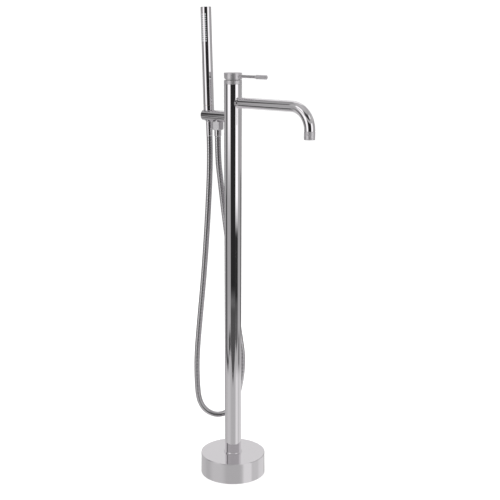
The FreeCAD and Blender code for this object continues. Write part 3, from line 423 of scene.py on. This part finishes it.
def line_mesh(name, points):
    """A mesh of one open line through those points."""
    mesh = bpy.data.meshes.new(name)
    mesh.from_pydata(points, [(index, index + 1) for index in range(len(points) - 1)], [])
    return mesh


def turned_ring(name, profile, sides):
    """A mesh turned round the Z axis from a closed profile of radius and height, wound outwards."""
    rings = []
    for step in range(sides):
        angle = 2 * math.pi * step / sides
        rings += [(radius * math.cos(angle), radius * math.sin(angle), height) for radius, height in profile]
    count = len(profile)
    faces = []
    for step in range(sides):
        near = step * count
        far = (step + 1) % sides * count
        for place in range(count):
            after = (place + 1) % count
            faces.append((near + place, far + place, far + after, near + after))
    mesh = bpy.data.meshes.new(name)
    mesh.from_pydata(rings, [], faces)
    mesh.shade_smooth()
    return mesh


def run_length(points):
    """Length of a line through those points."""
    return sum((after - before).length for before, after in zip(points, points[1:]))


# ---------------------------------------------------------------------------------------------------
# Geometry trees
# ---------------------------------------------------------------------------------------------------

def new_tree(name, inputs):
    """An empty modifier tree with named inputs of those kinds, and the sockets that give them."""
    tree = bpy.data.node_groups.new(name, "GeometryNodeTree")
    tree.is_modifier = True
    tree.interface.new_socket("Geometry", in_out="INPUT", socket_type="NodeSocketGeometry")
    for label, kind in inputs.items():
        tree.interface.new_socket(label, in_out="INPUT", socket_type=kind)
    tree.interface.new_socket("Geometry", in_out="OUTPUT", socket_type="NodeSocketGeometry")
    return tree, add(tree, "NodeGroupInput").outputs


def close_tree(tree, geometry, material):
    """Ends a tree in plain geometry with its material."""
    real = add(tree, "GeometryNodeRealizeInstances", {"Geometry": geometry})
    painted = add(tree, "GeometryNodeSetMaterial", {"Geometry": real, "Material": material})
    add(tree, "NodeGroupOutput", {"Geometry": painted})


def grow(piece, tree, values):
    """Runs a tree on a piece with those inputs and leaves a plain mesh."""
    modifier = piece.modifiers.new(tree.name, "NODES")
    modifier.node_group = tree
    for item in tree.interface.items_tree:
        if item.in_out == "INPUT" and item.name in values:
            modifier[item.identifier] = values[item.name]
    return settle(piece)


def wound_hose_tree():
    """A hose wound from strip, along a line: one helical groove, with a crest between two of its turns."""
    tree, given = new_tree("wound_hose", {
        "Radius": "NodeSocketFloat", "Pitch": "NodeSocketFloat", "Groove": "NodeSocketFloat",
        "Start": "NodeSocketFloat", "Rings": "NodeSocketInt", "Sides": "NodeSocketInt",
        "Material": "NodeSocketMaterial"})
    line = add(tree, "GeometryNodeMeshToCurve", {"Mesh": given["Geometry"]})
    length = add(tree, "GeometryNodeCurveLength", {"Curve": line})
    ring_gap = add(tree, MATH, (given["Pitch"], given["Rings"]), operation="DIVIDE")
    ring_gaps = add(tree, MATH, (length, ring_gap), operation="DIVIDE")
    ring_count = add(tree, MATH, (ring_gaps,), operation="CEIL")
    even = add(tree, "GeometryNodeResampleCurve", {"Curve": line, "Count": ring_count})
    rail = add(tree, "GeometryNodeCaptureAttribute", {"Geometry": even})
    rail.capture_items.new("FLOAT", "Run")
    wire(tree, rail, {"Run": add(tree, "GeometryNodeSplineParameter").outputs["Length"]})
    circle = add(tree, "GeometryNodeCurvePrimitiveCircle",
                 {"Resolution": given["Sides"], "Radius": given["Radius"]})
    rim = add(tree, "GeometryNodeCaptureAttribute", {"Geometry": circle})
    rim.capture_items.new("FLOAT", "Around")
    wire(tree, rim, {"Around": add(tree, "GeometryNodeSplineParameter").outputs["Factor"]})
    tube = add(tree, "GeometryNodeCurveToMesh", {"Curve": rail, "Profile Curve": rim, "Fill Caps": True})
    # Turns of the strip, counted along the hose, plus the share of the way round it, so that the groove
    # runs as a helix. Within a turn, 0 and 1 are in the groove and 0.5 is on the crest.
    run = add(tree, MATH, (rail.outputs["Run"], given["Start"]), operation="ADD")
    turns = add(tree, MATH, (run, given["Pitch"]), operation="DIVIDE")
    wound = add(tree, MATH, (turns, rim.outputs["Around"]), operation="ADD")
    turn = add(tree, MATH, (wound,), operation="FRACT")
    off_middle = add(tree, MATH, (turn, 2.0, -1.0), operation="MULTIPLY_ADD")
    off_crest = add(tree, MATH, (off_middle,), operation="ABSOLUTE")
    drop = add(tree, MATH, (off_crest, 4.0), operation="POWER")
    crest = add(tree, MATH, (1.0, drop), operation="SUBTRACT")
    share = add(tree, MATH, (crest, 1.0), operation="SUBTRACT")
    sink = add(tree, MATH, (share, given["Groove"]), operation="MULTIPLY")
    outwards = add(tree, "GeometryNodeInputNormal")
    offset = add(tree, VECTOR, {0: outwards, "Scale": sink}, operation="SCALE")
    grooved = add(tree, "GeometryNodeSetPosition", {"Geometry": tube, "Offset": offset})
    stored = add(tree, "GeometryNodeStoreNamedAttribute",
                 {"Geometry": grooved, "Name": "crest", "Value": crest}, data_type="FLOAT", domain="POINT")
    smooth = add(tree, "GeometryNodeSetShadeSmooth", {"Geometry": stored})
    close_tree(tree, smooth, given["Material"])
    return tree


def from_middle(tree, number, count, step):
    """How far a number stands from the middle of its count, in steps of that size."""
    last = add(tree, MATH, (count, 1.0), operation="SUBTRACT")
    middle = add(tree, MATH, (last, 2.0), operation="DIVIDE")
    off = add(tree, MATH, (number, middle), operation="SUBTRACT")
    return add(tree, MATH, (off, step), operation="MULTIPLY")


def nozzle_tree():
    """Copies one nozzle's lip in rows over the handset's curved spray face."""
    tree, given = new_tree("spray_nozzles", {
        "Rows": "NodeSocketInt", "Columns": "NodeSocketInt", "Pitch": "NodeSocketFloat",
        "Fan": "NodeSocketFloat", "Reach": "NodeSocketFloat", "Middle": "NodeSocketVector",
        "Lean": "NodeSocketFloat", "Material": "NodeSocketMaterial"})
    count = add(tree, MATH, (given["Rows"], given["Columns"]), operation="MULTIPLY")
    points = add(tree, "GeometryNodePoints", {"Count": count})
    index = add(tree, "GeometryNodeInputIndex")
    rows_before = add(tree, MATH, (index, given["Columns"]), operation="DIVIDE")
    row = add(tree, MATH, (rows_before,), operation="FLOOR")
    column = add(tree, MATH, (index, given["Columns"]), operation="MODULO")
    rise = from_middle(tree, row, given["Rows"], given["Pitch"])
    angle = from_middle(tree, column, given["Columns"], given["Fan"])
    forwards = add(tree, MATH, (given["Reach"], -1.0), operation="MULTIPLY")
    straight = add(tree, "ShaderNodeCombineXYZ", {"Y": forwards, "Z": rise})
    place = add(tree, "ShaderNodeVectorRotate", {"Vector": straight, "Angle": angle}, rotation_type="Z_AXIS")
    spread = add(tree, "GeometryNodeSetPosition", {"Geometry": points, "Position": place})
    facing = add(tree, "ShaderNodeCombineXYZ", {"X": math.pi / 2, "Z": angle})
    copies = add(tree, "GeometryNodeInstanceOnPoints",
                 {"Points": spread, "Instance": given["Geometry"], "Rotation": facing})
    outwards = add(tree, MATH, (given["Lean"], -1.0), operation="MULTIPLY")
    leaning = add(tree, "ShaderNodeCombineXYZ", {"Y": outwards})
    placed = add(tree, "GeometryNodeTransform",
                 {"Geometry": copies, "Translation": given["Middle"], "Rotation": leaning})
    close_tree(tree, placed, given["Material"])
    return tree


# ---------------------------------------------------------------------------------------------------
# The room that polished metal mirrors
# ---------------------------------------------------------------------------------------------------

class Panel(NamedTuple):
    """A soft box, board or dark gap of the room, as seen from the filler. Angles are in degrees, and a
    bearing is counted from the way to the camera, to the right as the camera sees it."""
    name: str
    level: float  # brightness
    middle: float  # bearing of its middle
    half: float  # half its width
    low: float  # height of its lower edge
    high: float  # height of its upper edge
    side: float = 2.0  # softness of its sides
    point: float = 0.0  # height over which its lower end narrows to a point
    fade: float = 2.0  # height over which its lower edge fades


# Brightness of floor, walls and ceiling by height over the horizon in degrees.
ROOM_SHADES = ((-90, .80), (-45, .66), (-21, .55), (-15, .42), (14, .42), (24, .50), (55, .45), (90, .60))

# A later panel covers an earlier one. They were placed and graded until the bands of light and dark
# on column, spout and foot lay where the real ones do.
ROOM_PANELS = (
    Panel("low board, far left", .52, -104, 11, -40, -19.5, side=5),
    Panel("low board, left", .62, -60, 22, -40, -19.5, side=9),
    Panel("low board, under the camera", .50, 0, 28, -40, -19.5, side=8),
    Panel("low board, right", .82, 55, 18, -40, -19.5, side=7),
    Panel("low board, far right", .64, 88, 12, -40, -19.5, side=5),
    Panel("low board, behind on the right", .76, 126, 22, -40, -19.5, side=8),
    Panel("dark floor, behind on the left", .33, -125, 28, -62, -38, fade=6),
    Panel("bright floor, behind the filler", .90, 180, 24, -62, -27, fade=6),
    Panel("bright ceiling, behind the filler", 1.0, 180, 26, 27, 62, fade=4),
    Panel("dark ceiling, behind on the left", .36, -122, 36, 36, 62, fade=6),
    Panel("glow over the wall, behind the filler", .78, 180, 80, 20, 28, side=25, fade=3),
    Panel("left soft box", 1.2, -52, 17, -10.5, 20, fade=6),
    Panel("right soft box", 1.2, 51, 18, -12, 20, fade=2.5),
    Panel("left soft box, upper part", 1.2, -52, 17, 27, 50, fade=3),
    Panel("right soft box, upper part", 1.0, 51, 16, 33, 50, fade=4),
    Panel("dark wall behind the camera, upper part", .05, 0, 31, 26.5, 50),
    Panel("dark wall behind the camera, its foot", .09, 0, 31, -21.1, -15.5, point=2.6, fade=1),
    Panel("dark wall behind the camera", .025, 0, 31, -17, 18),
    Panel("gap under the right soft box, its foot", .12, 49, 19, -19.2, -15.5, point=1.2, fade=1),
    Panel("gap under the right soft box", .03, 49, 19, -17, -11.2, fade=1.5),
    Panel("gap under the left soft box", .05, -46, 14, -19.4, -17.2, point=1, fade=.8),
    Panel("gap left of the left soft box", .05, -74, 13, -20.2, -18.5, point=.8, fade=.6),
    Panel("gap right of the right soft box", .13, 92, 14, -20.4, -17.3, point=1, fade=1),
    Panel("dark edge, far right", .09, 128, 12, -19.5, -8, point=2, fade=3),
    Panel("dark edge, far left", .09, -100, 9, -19.8, -9, point=1, fade=1),
    Panel("dark strip, left", .05, -91, 7.5, -20, 35, fade=1),
    Panel("dark strip on the floor, left", .05, -92, 7, -42, -27),
)


def panel_mask(tree, bearing, rise, panel):
    """How much of a panel covers each direction, from 0 to 1."""
    turned = add(tree, MATH, (bearing, panel.middle), operation="SUBTRACT")
    wrapped = add(tree, MATH, (turned, 180.0, -180.0), operation="WRAP")
    aside = add(tree, MATH, (wrapped,), operation="ABSOLUTE")
    if panel.point:
        width = add(tree, RANGE, (rise, panel.low, panel.low + panel.point, 0.0, panel.half))
        narrowed = add(tree, MATH, (aside, width), operation="SUBTRACT")
        aside = add(tree, MATH, (narrowed, panel.half), operation="ADD")
    across = add(tree, RANGE, (aside, panel.half - panel.side, panel.half + panel.side, 1.0, 0.0), **SMOOTH)
    below = add(tree, RANGE, (rise, panel.low, panel.low + panel.fade, 0.0, 1.0), **SMOOTH)
    above = add(tree, RANGE, (rise, panel.high - 1, panel.high, 1.0, 0.0), **SMOOTH)
    upright = add(tree, MATH, (below, above), operation="MULTIPLY")
    return add(tree, MATH, (across, upright), operation="MULTIPLY")


def paint_ramp(ramp, stops):
    """Fills a colour ramp with grey stops given as height in degrees and brightness."""
    while len(ramp.elements) > 1:
        ramp.elements.remove(ramp.elements[0])
    for number, (height, level) in enumerate(stops):
        place = (height + 90) / 180
        element = ramp.elements[0] if number == 0 else ramp.elements.new(place)
        element.position = place
        element.color = (level, level, level, 1)


def paint_room(tree, camera_turn, white_level):
    """Room of light and dark panels that only polished metal sees; all else sees a plain white one."""
    tree.nodes.clear()
    way = add(tree, "ShaderNodeTexCoord").outputs["Generated"]
    parts = add(tree, "ShaderNodeSeparateXYZ", {"Vector": way}).outputs
    towards = add(tree, MATH, (parts["Y"], -1.0), operation="MULTIPLY")
    heading = add(tree, MATH, (parts["X"], towards), operation="ARCTAN2")
    off_camera = add(tree, MATH, (heading, camera_turn), operation="SUBTRACT")
    bearing = add(tree, MATH, (off_camera,), operation="DEGREES")
    height = add(tree, MATH, (parts["Z"],), operation="ARCSINE")
    rise = add(tree, MATH, (height,), operation="DEGREES")
    ramp = add(tree, "ShaderNodeValToRGB", {"Fac": add(tree, RANGE, (rise, -90.0, 90.0, 0.0, 1.0))})
    paint_ramp(ramp.color_ramp, ROOM_SHADES)
    shade = ramp.outputs["Color"]
    for panel in ROOM_PANELS:
        mask = panel_mask(tree, bearing, rise, panel)
        grey = (panel.level, panel.level, panel.level, 1)
        shade = add(tree, MIX, {"Factor": mask, FIRST: shade, SECOND: grey}, data_type="RGBA",
                    label=panel.name).outputs[MIXED]
    metal_sees = add(tree, "ShaderNodeLightPath").outputs["Is Glossy Ray"]
    room = add(tree, "ShaderNodeBackground", {"Color": shade, "Strength": 1.0})
    white = add(tree, "ShaderNodeBackground", {"Color": (1, 1, 1, 1), "Strength": white_level})
    both = add(tree, "ShaderNodeMixShader", (metal_sees, white, room))
    add(tree, "ShaderNodeOutputWorld", {"Surface": both})


# ---------------------------------------------------------------------------------------------------
# Operators
# ---------------------------------------------------------------------------------------------------

SLOT_FINISHES = {
    "polished_chrome": "mirror_chrome",
    "satin_chrome": "turned_cap",
    "hose_chrome": "wound_chrome",
    "brass": "machined_brass",
    "stainless": "brushed_steel",
    "copper": "drawn_copper",
    "white_plastic": "white_acetal",
    "grey_plastic": "grey_nylon",
    "black_rubber": "moulded_rubber",
    "clear_silicone": "soft_silicone",
}
OWN_FINISHES = {
    "outlet_ring": "turned_outlet",
    "lever_grip": "turned_grip",
    "handset_hose_sleeve": "turned_sleeve",
    "outlet_hose_sleeve": "turned_sleeve",
    "base_cover": "spun_foot",
    "hose_nut": "milled_nut",
}


class FinishOperator(bpy.types.Operator):
    """Give every part the finish of the real one"""
    bl_idname = "filler.finishes"
    bl_label = "Finishes"

    def execute(self, context):
        own = context.scene.filler_finish
        column_axis = (0.0, 0.0, 0.0)
        lying = (0.0, math.pi / 2, 0.0)
        mirror_chrome()
        turned_chrome("turned_cap", column_axis)
        turned_chrome("turned_outlet", box_middle("outlet_ring"), blur=0.45, depth=0.16 * MM, ridge=3.6 * MM)
        turned_chrome("turned_grip", box_middle("lever_grip"), lying)
        turned_chrome("turned_sleeve", box_middle("handset_hose_sleeve"), blur=0.14, feed=0.9 * MM)
        turned_chrome("spun_foot", column_axis, blur=0.08)
        turned_chrome("milled_nut", box_middle("hose_nut"), blur=0.4, feed=1.5 * MM, depth=0.004 * MM)
        wound_chrome()
        machined_brass()
        drawn_copper()
        brushed_steel()
        moulded("white_acetal", own.white, 0.38, 0.5 * MM, 0.01 * MM)
        moulded("grey_nylon", own.grey, 0.45, 0.5 * MM, 0.015 * MM)
        moulded("moulded_rubber", own.rubber, 0.6, 0.4 * MM, 0.02 * MM)
        soft_silicone()
        slots = {part["node"]: part["material_slot"] for part in frame["record"]["subparts"]}
        for name, part in frame["nodes"].items():
            material = material_of(OWN_FINISHES.get(name, SLOT_FINISHES[slots[name]]))
            for slot in part.material_slots:
                slot.material = material
            if not part.material_slots:
                part.data.materials.append(material)
        return {"FINISHED"}


class HoseOperator(bpy.types.Operator):
    """Wind the shower hose along its route, in two pieces that part behind the column"""
    bl_idname = "filler.hose"
    bl_label = "Shower hose"

    def execute(self, context):
        sizes = context.scene.filler_hose
        places = read_curve(HOSE_ROUTE)
        parting = min(range(len(places)), key=lambda index: (places[index] - HOSE_PARTING).length)
        handset_leg = self.wind("hose_handset_leg", places[:parting + 1], 0.0, sizes)
        start = run_length(places[:parting + 1])
        outlet_leg = self.wind("hose_outlet_leg", places[parting:], start, sizes)
        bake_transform(handset_leg)
        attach(outlet_leg, "stand")
        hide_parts("shower_hose")
        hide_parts("shower_hose")
        return {"FINISHED"}

    def wind(self, name, places, start, sizes):
        """One piece of hose along those places; start is the length already wound before it."""
        leg = show(name, line_mesh(name, places))
        grow(leg, wound_hose_tree(), {
            "Radius": sizes.diameter / 2, "Pitch": sizes.pitch, "Groove": sizes.groove, "Start": start,
            "Rings": sizes.rings, "Sides": sizes.sides, "Material": material_of("wound_chrome")})
        return leg


class NozzleOperator(bpy.types.Operator):
    """Set a soft lip round every nozzle in the handset's spray face"""
    bl_idname = "filler.nozzles"
    bl_label = "Spray nozzles"

    def execute(self, context):
        sizes = context.scene.filler_nozzles
        outside = [(sizes.radius * wide, sizes.height * high) for wide, high in LIP_TAPER]
        profile = [(sizes.opening, -LIP_ROOT), (sizes.radius, -LIP_ROOT), *outside]
        profile.append((sizes.opening, sizes.height))
        lips = show("nozzle_lips", turned_ring("nozzle_lips", profile, LIP_SIDES))
        face = box_middle("spray_plate")
        middle = (face.x, box_middle("handset_tube").y, face.z)
        grow(lips, nozzle_tree(), {
            "Rows": sizes.rows, "Columns": sizes.columns, "Pitch": sizes.pitch, "Fan": sizes.fan,
            "Reach": sizes.reach, "Middle": middle, "Lean": sizes.lean,
            "Material": material_of("soft_silicone")})
        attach(lips, "handset")
        return {"FINISHED"}


class StudioOperator(bpy.types.Operator):
    """Set up the pale floor, the soft light and the camera"""
    bl_idname = "filler.studio"
    bl_label = "Studio"

    def execute(self, context):
        sizes = context.scene.filler_studio
        self.lay_floor(sizes)
        self.light_room(context.scene, sizes)
        self.set_camera(context.scene, sizes)
        context.scene.view_settings.view_transform = "Standard"
        return {"FINISHED"}

    def lay_floor(self, sizes):
        """A wide floor, which the chrome doesn't mirror: the room's own light stands for it there."""
        half = sizes.floor_size / 2
        corners = [(-half, -half, 0), (half, -half, 0), (half, half, 0), (-half, half, 0)]
        mesh = bpy.data.meshes.new("floor")
        mesh.from_pydata(corners, [], [(0, 1, 2, 3)])
        mesh.materials.append(pale_floor())
        floor = show("floor", mesh)
        floor.visible_glossy = False

    def light_room(self, scene, sizes):
        """The room round the filler, and a wide lamp overhead that the chrome doesn't mirror."""
        lamp = bpy.data.lights.new("overhead", "AREA")
        lamp.shape = "DISK"
        lamp.size = sizes.lamp_width
        lamp.energy = sizes.lamp_power
        overhead = show("overhead", lamp)
        overhead.location = sizes.lamp_place
        overhead.visible_glossy = False
        world = bpy.data.worlds.new("studio")
        world.use_nodes = True
        scene.world = world
        paint_room(world.node_tree, sizes.camera_turn, sizes.white_level)

    def set_camera(self, scene, sizes):
        """The camera at the photograph's angle."""
        lens = bpy.data.cameras.new("camera")
        lens.lens = sizes.lens
        lens.shift_x, lens.shift_y = sizes.shift
        camera = show("camera", lens)
        round_column = Matrix.Rotation(sizes.camera_turn, 4, "Z")
        down = Matrix.Rotation(math.pi / 2 - sizes.camera_tilt, 4, "X")
        camera.matrix_world = Matrix.Translation(sizes.camera_place) @ round_column @ down
        scene.camera = camera


class FillerPanel(bpy.types.Panel):
    """Sidebar panel that lists what can be made, and its sizes and colours"""
    bl_idname = "VIEW3D_PT_filler"
    bl_label = "Bath filler"
    bl_space_type = "VIEW_3D"
    bl_region_type = "UI"
    bl_category = "Bath filler"

    def draw(self, context):
        for operator in OPERATORS:
            self.layout.operator(operator.bl_idname)
        for attribute, group in GROUPS.items():
            for name in group.__annotations__:
                self.layout.prop(getattr(context.scene, attribute), name)


OPERATORS = (FinishOperator, HoseOperator, NozzleOperator, StudioOperator)


def register():
    """Makes the sizes, the operators and the panel known to Blender."""
    for made in (*GROUPS.values(), *OPERATORS, FillerPanel):
        bpy.utils.register_class(made)
    for attribute, group in GROUPS.items():
        setattr(bpy.types.Scene, attribute, PointerProperty(type=group))


def unregister():
    """Takes them out again, in the opposite order."""
    for attribute in GROUPS:
        delattr(bpy.types.Scene, attribute)
    for made in (FillerPanel, *reversed(OPERATORS), *reversed(GROUPS.values())):
        bpy.utils.unregister_class(made)


def main():
    register()
    for operator in OPERATORS:
        group, name = operator.bl_idname.split(".")
        getattr(getattr(bpy.ops, group), name)()


if __name__ == "__main__":
    main()
